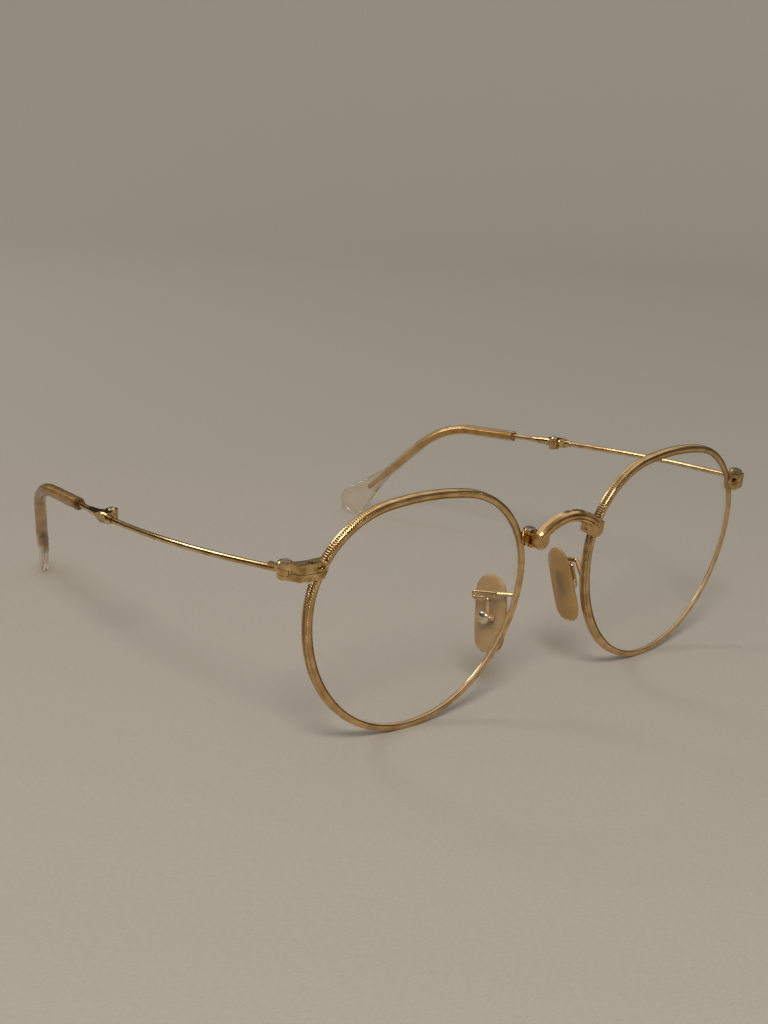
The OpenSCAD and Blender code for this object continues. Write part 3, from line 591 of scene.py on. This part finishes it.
def lump(name, middle, size, lean, seed, label):
    """A lump of solder on one rim, placed in the front's frame."""
    rings = []
    for i in range(1, LUMP_RINGS):
        a = math.pi * i / LUMP_RINGS
        ring = []
        for k in range(LUMP_POINTS):
            b = 2 * math.pi * k / LUMP_POINTS
            way = Vector((math.sin(a) * math.cos(b), math.sin(a) * math.sin(b), math.cos(a)))
            swell = 1 + SWELL * noise.noise(way * SWELL_FINE + Vector((seed, 0, 0)))
            spot = Vector((way.x * size[0], way.y * size[1], way.z * size[2])) * swell
            ring.append(Vector(middle) + turn("Y", lean) @ spot)
        rings.append(ring)
    piece = skin(name, rings, front_frame(SIDES[label]), solder_metal)
    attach(piece, f"front_body_{label}")


ROOT_UP, RIM_HALF_D = -0.7, 0.85
RUN_DOWN = 0.35  # the melt has run down from the arm's root
root_line = SIDE_C.x + SIDE_R * math.cos(math.asin((ROOT_UP - SIDE_C.y) / SIDE_R))
ARM_ROOT = (RIM_X - root_line * math.cos(wrap), RIM_HALF_D - root_line * math.sin(wrap),
            ROOT_UP - RUN_DOWN)
KNUCKLE_FOOT = bridge_pin + Vector((BRIDGE_REACH - 0.75, 0.2, -0.1))  # just before the rim
ARM_LUMP, KNUCKLE_LUMP = (0.5, 0.3, 1.05), (0.32, 0.75, 0.9)
ARM_LEAN, KNUCKLE_LEAN = -4, 24  # degrees, along the rim's line
for label in SIDES:
    lump(f"solder_arm_{label}", ARM_ROOT, ARM_LUMP, ARM_LEAN, 3.1, label)
    lump(f"solder_knuckle_{label}", KNUCKLE_FOOT, KNUCKLE_LUMP, KNUCKLE_LEAN, 7.7, label)
print("solder at (mm):", tuple(round(v, 2) for v in ARM_ROOT))

# %% [markdown]
# ## The sleeves
# A clear sleeve is pushed over the wire's rear end. It is round to past the ear
# bend and widens into a thin flat tip. The wire inside is the CAD part, which
# shows through. Rings along the same straight line, bend and hook carry a round
# section that flattens by degrees, so that sleeve and tip are one clear piece with
# no seam. The front end has a small sunk hole where the wire goes in.

# %% Line of the sleeve
REAR_LEN, EAR_R, EAR_BEND, EAR_ROLL = 29, 23, 44.5, 21.5
SLEEVE_FROM, SLEEVE_R, TAPER = 14, 1.38, 13
TIP_W, TIP_T, TIP_TURN, WIRE_R = 8.2, 2.3, -28, 0.6
TIP_HALF, EDGE_R = TIP_W / 2, TIP_T / 2
DISC_R = TIP_HALF - EDGE_R
BEND_LEN = EAR_R * math.radians(EAR_BEND)


def sleeve_station(s):
    """Matrix at a distance along the sleeve's line: x is its thin way, y its wide way."""
    roll = turn("Y", EAR_ROLL)
    if s <= REAR_LEN:
        return Matrix.Translation((0, s, 0)) @ roll @ turn("X", -90)
    bend = min(s - REAR_LEN, BEND_LEN) / EAR_R
    past = max(0, s - REAR_LEN - BEND_LEN)
    inside = Matrix.Translation((0, EAR_R * math.sin(bend), -EAR_R * (1 - math.cos(bend))))
    return (Matrix.Translation((0, REAR_LEN, 0)) @ roll @ inside
            @ turn("X", -90 - math.degrees(bend)) @ Matrix.Translation((0, 0, past)))


HOOK_START = REAR_LEN + BEND_LEN
hook = middle_frame(1) @ sleeve_station(HOOK_START) @ turn("Z", TIP_TURN)
tip_drop = DISC_R * math.sqrt(1 - hook.col[0][2] ** 2) + EDGE_R
TIP_MIDDLE = HOOK_START + (hook.translation.z - tip_drop) / -hook.col[2][2]
print("sleeve line runs to", round(TIP_MIDDLE + TIP_HALF, 1), "mm behind the middle hinge")

# %% Sweep each sleeve and its flat tip
RING, FIRST_STEP, STEP = 40, 0.5, 0.75
SQUARER = 0.8  # how much fuller than a circle the flat tip's section is
TIP_RINGS, TIP_END = 13, 12.2  # the last ring stops just short of the very end
# Rings (depth behind the sleeve's front end, radius) of its sunk mouth.
MOUTH = ((0.6, WIRE_R + 0.02), (0.4, 0.8), (0.12, 1.0), (0, 1.1), (0, 1.26), (0.1, 1.36))


def sleeve_ring(s):
    """Section at a distance along the line: round at first, flat by the tip."""
    flat = min(1, max(0, (s - TIP_MIDDLE + TAPER) / TAPER))
    wide = SLEEVE_R + (TIP_HALF - SLEEVE_R) * flat
    thin = SLEEVE_R + (EDGE_R - SLEEVE_R) * flat
    past = max(0, s - TIP_MIDDLE)
    if past > 0:
        wide = math.sqrt(max(0, TIP_HALF ** 2 - past ** 2))
        edge = max(0, past - DISC_R) / EDGE_R
        thin = EDGE_R * math.sqrt(max(0.0, 1 - edge ** 2))
    power = 1 + SQUARER * flat
    place = sleeve_station(s) @ turn("Z", TIP_TURN * flat)
    ring = []
    for k in range(RING):
        a = 2 * math.pi * k / RING
        c, w = math.cos(a), math.sin(a)
        x = thin * math.copysign(abs(c) ** (1 / power), c)
        ring.append(place @ Vector((x, wide * w, 0)))
    return ring


def sleeve_rings():
    rings = []
    for depth, radius in MOUTH:
        place = sleeve_station(SLEEVE_FROM + depth)
        rings.append([place @ Vector((*point, 0)) for point in circle(radius, RING)])
    s = SLEEVE_FROM + FIRST_STEP
    while s < TIP_MIDDLE:
        rings.append(sleeve_ring(s))
        s += STEP
    for k in range(TIP_RINGS):
        share = math.sin(math.pi / 2 * k / TIP_END)
        rings.append(sleeve_ring(TIP_MIDDLE + TIP_HALF * share))
    return rings


for label, side in SIDES.items():
    sleeve = skin(f"clear_sleeve_{label}", sleeve_rings(), middle_frame(side), sleeve_plastic)
    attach(sleeve, f"temple_rear_body_{label}")
    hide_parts(f"temple_tip_{label}")
    print(sleeve.name, len(sleeve.data.polygons), "faces")

# %% [markdown]
# ## The nose pads
# A pad is a soft rounded plate: domed at the top, square at its lower back corner,
# flat towards the rim and crowned towards the nose. Its outline is the band that
# lies tight round three discs, as in the CAD part. Rings follow that outline and
# shrink towards the middle of each face, like the layers of a pebble. A
# subdivision modifier then takes the last corners off.

# %% Layers of a pad
PAD_H, HALF_W = 16.5, 3.85
HIGH_R, FORE_R, REAR_R = 0.95 * HALF_W, 0.85 * HALF_W, 0.65 * HALF_W
DISCS = [
    (Vector((0, PAD_H / 2 - HIGH_R)), HIGH_R),
    (Vector((FORE_R - HALF_W, FORE_R - PAD_H / 2)), FORE_R),
    (Vector((HALF_W - REAR_R, REAR_R - PAD_H / 2)), REAR_R),
]
# Layers (share of the outline, height) from the nose's side to the rim's side.
LAYERS = [
    (0.12, -0.9), (0.3, -0.885), (0.55, -0.83), (0.75, -0.7), (0.88, -0.5), (0.965, -0.26),
    (1.0, -0.05), (0.985, 0.3), (0.95, 0.52), (0.86, 0.74), (0.7, 0.85), (0.5, 0.89),
    (0.3, 0.9), (0.12, 0.9),
]
OUTLINE_POINTS, TANGENTS = 48, 180
FACING = 0.1  # only tangents that face the way by more than this count


def pad_outline(angle):
    """Point of the outline that lies round the three discs, in one direction."""
    way = Vector((math.sin(angle), math.cos(angle)))
    reach = PAD_H
    for x, y in circle(1, TANGENTS):
        normal = Vector((x, y))
        if normal.dot(way) > FACING:
            edge = max(centre.dot(normal) + radius for centre, radius in DISCS)
            reach = min(reach, edge / normal.dot(way))
    return way * reach


PAD_OUTLINE = [pad_outline(2 * math.pi * k / OUTLINE_POINTS) for k in range(OUTLINE_POINTS)]
for label, side in SIDES.items():
    rings = [[(x, p.x * share, p.y * share) for p in PAD_OUTLINE] for share, x in LAYERS]
    pad = skin(f"soft_pad_{label}", rings, pad_frame(side), pad_silicone)
    soften = pad.modifiers.new("soften", "SUBSURF")
    soften.levels = soften.render_levels = 1
    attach(pad, f"nose_pad_body_{label}")
    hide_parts(f"nose_pad_{label}")
    print(pad.name, len(pad.data.polygons), "faces")

# %% [markdown]
# ## The pads' buttons
# The end of each pad box that faces out is a small polished dome with a slot
# across it, and it is the brightest spot of the near pad. It is turned from rings
# round the box's own axis, and points near the slot's line are pressed in. This
# leaves a clean mesh with no need to cut one shape out of another.

# %% A domed, slotted button on the end of each pad box
BOX_R, BOX_Z, BOX_END = 1.3, -0.35, 2.85
BUTTON_POINTS = 48
SLOT_HALF, SLOT_DEEP, SLOT_SLANT = 0.17, 0.3, 0.2
# Rings (rise over the box's end, share of its radius) of the dome.
DOME = [(-0.35, 0.98), (-0.05, 1.0), (0.1, 0.96), (0.22, 0.88), (0.33, 0.76), (0.4, 0.64),
        (0.45, 0.52), (0.49, 0.4), (0.515, 0.28), (0.53, 0.17), (0.535, 0.05)]


def button_ring(rise, share):
    """A ring of the dome, pressed in along the slot."""
    ring = []
    for y, z in circle(BOX_R * share, BUTTON_POINTS):
        slotted = rise > 0 and abs(z + SLOT_SLANT * y) < SLOT_HALF
        sunk = SLOT_DEEP if slotted else 0
        ring.append((BOX_END + rise - sunk, y, BOX_Z + z))
    return ring


for label, side in SIDES.items():
    rings = [button_ring(rise, share) for rise, share in DOME]
    button = skin(f"pad_button_{label}", rings, pad_frame(side), screw_metal)
    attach(button, f"front_body_{label}")
    print(button.name, len(button.data.polygons), "faces")

# %% [markdown]
# ## Floor and light
# The glasses stand in a shallow seamless bowl of plain pale cloth. A soft key lamp
# high behind the camera throws the shadows backwards, and a small window at the
# back gives the metal its bright lines. Together they light a plain surface at
# about its written colour. Polished metal shows its surroundings, and a room of
# one even tone would make it look flat. So mirror rays see a lit wall low down, a
# dark band above it and a bright ceiling, all weaker in front than at the back,
# and the floor far off painted dark, as painted shade. Other rays see the floor far
# off painted lighter, as painted light on the far side of the bowl. Everything else
# is lit evenly.

# %% Seamless floor
FLOOR_R, WALL_R, WALL_H = 0.75, 1.35, 0.5  # metres
METRE = 1000  # in mm
BOWL_POINTS, BOWL_STEPS = 96, 12
PINHOLE_R = 0.00002
THREAD_MM, THREAD_STRETCH, THREAD_DEPTH_MM, THREAD_STRENGTH = 1.2, (1, 6, 1), 0.05, 0.4
cloth, cloth_tree, cloth_shader = finish("pale_cloth", Roughness=0.9)
weave = speckle(cloth_tree, THREAD_MM, 2.0, THREAD_STRETCH)
# Far off, the cloth is painted lighter for the camera, as painted light, and painted dark for
# mirror rays, as painted shade.
CLOTH_TONES = (
    ((0.375, 0.335, 0.285), (0.415, 0.375, 0.32)),  # near
    ((0.57, 0.52, 0.445), (0.61, 0.56, 0.485)),  # far off
    ((0.05, 0.042, 0.034), (0.06, 0.052, 0.042)),  # far off, to mirror rays
)
near, far, unlit = (shades(cloth_tree, weave, (NOISE_LOW, dark), (NOISE_HIGH, light))
                    for dark, light in CLOTH_TONES)
FADE_START, FAR_END, UNLIT_END = 0.15, 1.3, 0.5  # metres from the middle


def distance(tree, start, end):
    """0 up to one distance from the middle, 1 from another one on."""
    place = tree.nodes.new("ShaderNodeTexCoord")
    away = tree.nodes.new("ShaderNodeVectorMath")
    away.operation = "LENGTH"
    tree.links.new(place.outputs["Object"], away.inputs[0])
    return mapped(tree, away.outputs["Value"], start, end)


# Painted light far off for plain rays, and painted shade far off for mirror rays.
seen_plainly = blend(cloth_tree, distance(cloth_tree, FADE_START, FAR_END), near, far)
seen_in_metal = blend(cloth_tree, distance(cloth_tree, FADE_START, UNLIT_END), near, unlit)
cloth_colour = blend(cloth_tree, mirror_rays(cloth_tree), seen_plainly, seen_in_metal)
cloth_tree.links.new(cloth_colour, cloth_shader.inputs["Base Color"])
relief(cloth_tree, cloth_shader, weave, THREAD_DEPTH_MM, THREAD_STRENGTH)


def bowl_rings():
    """Rings from a pinhole in the middle over the flat floor and up the wall."""
    profile = [(PINHOLE_R, 0), (0.2, 0), (0.5, 0), (FLOOR_R, 0)]
    for k in range(1, BOWL_STEPS + 1):
        a = math.pi / 2 * k / BOWL_STEPS
        profile.append((FLOOR_R + (WALL_R - FLOOR_R) * math.sin(a), WALL_H * (1 - math.cos(a))))
    return [[(x, y, METRE * h) for x, y in circle(METRE * r, BOWL_POINTS)] for r, h in profile]


floor = skin("floor", bowl_rings(), Matrix.Identity(4), cloth, caps=False)
print("floor radius (m):", WALL_R)

# %% A soft key lamp and a small window
def lamp(name, place, size, power, colour):
    """Round area lamp that looks at the origin."""
    data = bpy.data.lights.new(name, "AREA")
    data.shape = "DISK"
    data.size = size
    data.energy = power
    data.color = colour
    body = bpy.data.objects.new(name, data)
    body.location = place
    body.rotation_mode = "QUATERNION"
    body.rotation_quaternion = (-Vector(place)).to_track_quat("-Z", "Y")
    bpy.context.scene.collection.objects.link(body)


lamp("key", (-0.42, -0.50, 0.72), size=0.32, power=5.5, colour=(1, 0.97, 0.92))
lamp("window", (-0.26, 0.72, 0.61), size=0.25, power=1.4, colour=(1, 0.98, 0.95))

# %% Surroundings: even for most rays, a room with a bright ceiling for mirror rays
ROOM = ((0.12, (0.50, 0.47, 0.42)), (0.34, (0.62, 0.58, 0.52)), (0.42, (0.05, 0.04, 0.035)),
        (0.5, (0.07, 0.065, 0.06)), (0.62, (0.95, 0.92, 0.87)))  # by how steeply the ray goes up
BACKWARDS = (0.66, 0.75, 0)  # away from the camera, where the room is brightest
DIM_AT, FULL_AT, DIM = -0.3, 0.5, 0.25
EVEN_COLOUR, EVEN_STRENGTH = (0.9, 0.88, 0.85), 0.44
world = bpy.data.worlds.new("soft_room")
bpy.context.scene.world = world
world.use_nodes = True
sky = world.node_tree
plain = sky.nodes["Background"]
plain.inputs["Color"].default_value = (*EVEN_COLOUR, 1)
plain.inputs["Strength"].default_value = EVEN_STRENGTH
seen = sky.nodes.new("ShaderNodeBackground")
mix = sky.nodes.new("ShaderNodeMixShader")
height = sky.nodes.new("ShaderNodeSeparateXYZ")
place = sky.nodes.new("ShaderNodeTexCoord")
sky.links.new(place.outputs["Generated"], height.inputs["Vector"])
room = shades(sky, height.outputs["Z"], *ROOM)
behind = sky.nodes.new("ShaderNodeVectorMath")
behind.operation = "DOT_PRODUCT"
behind.inputs[1].default_value = BACKWARDS
sky.links.new(place.outputs["Generated"], behind.inputs[0])
strength = mapped(sky, behind.outputs["Value"], DIM_AT, FULL_AT, DIM)
sky.links.new(strength, seen.inputs["Strength"])
sky.links.new(room, seen.inputs["Color"])
sky.links.new(mirror_rays(sky), mix.inputs["Fac"])
sky.links.new(plain.outputs["Background"], mix.inputs[1])
sky.links.new(seen.outputs["Background"], mix.inputs[2])
sky.links.new(mix.outputs["Shader"], sky.nodes["World Output"].inputs["Surface"])
print("world:", world.name)

# %% [markdown]
# ## Camera
# The camera stands where the photograph was taken: in front, to the wearer's
# right and a little above, close enough for a clear perspective. Its turn was
# found by matching the outlines of the two round rims.

# %% Camera at the photograph's place
FOCAL_MM, SENSOR_MM, CLIP_M = 51.13, 36, 0.01
FROM_FRONT = Vector((-211.1, -187.74, 94.24))
CAMERA_AT = (FRONT + FROM_FRONT) * MM
AZIMUTH, ELEVATION, ROLL = math.radians(-41.51), math.radians(16.26), math.radians(3.31)
back = Vector((math.sin(AZIMUTH) * math.cos(ELEVATION),
               -math.cos(AZIMUTH) * math.cos(ELEVATION), math.sin(ELEVATION)))
across = Vector((0, 0, 1)).cross(back).normalized()
upward = back.cross(across)
across, upward = (across * math.cos(ROLL) + upward * math.sin(ROLL),
                  upward * math.cos(ROLL) - across * math.sin(ROLL))
camera_data = bpy.data.cameras.new("camera")
camera_data.lens = FOCAL_MM
camera_data.sensor_width = SENSOR_MM
camera_data.clip_start = CLIP_M
camera = bpy.data.objects.new("camera", camera_data)
camera.matrix_world = Matrix((
    (across.x, upward.x, back.x, CAMERA_AT.x), (across.y, upward.y, back.y, CAMERA_AT.y),
    (across.z, upward.z, back.z, CAMERA_AT.z), (0, 0, 0, 1)))
bpy.context.scene.collection.objects.link(camera)
bpy.context.scene.camera = camera
bpy.context.scene.view_settings.view_transform = "Standard"
print("camera to front (mm):", round(FROM_FRONT.length))
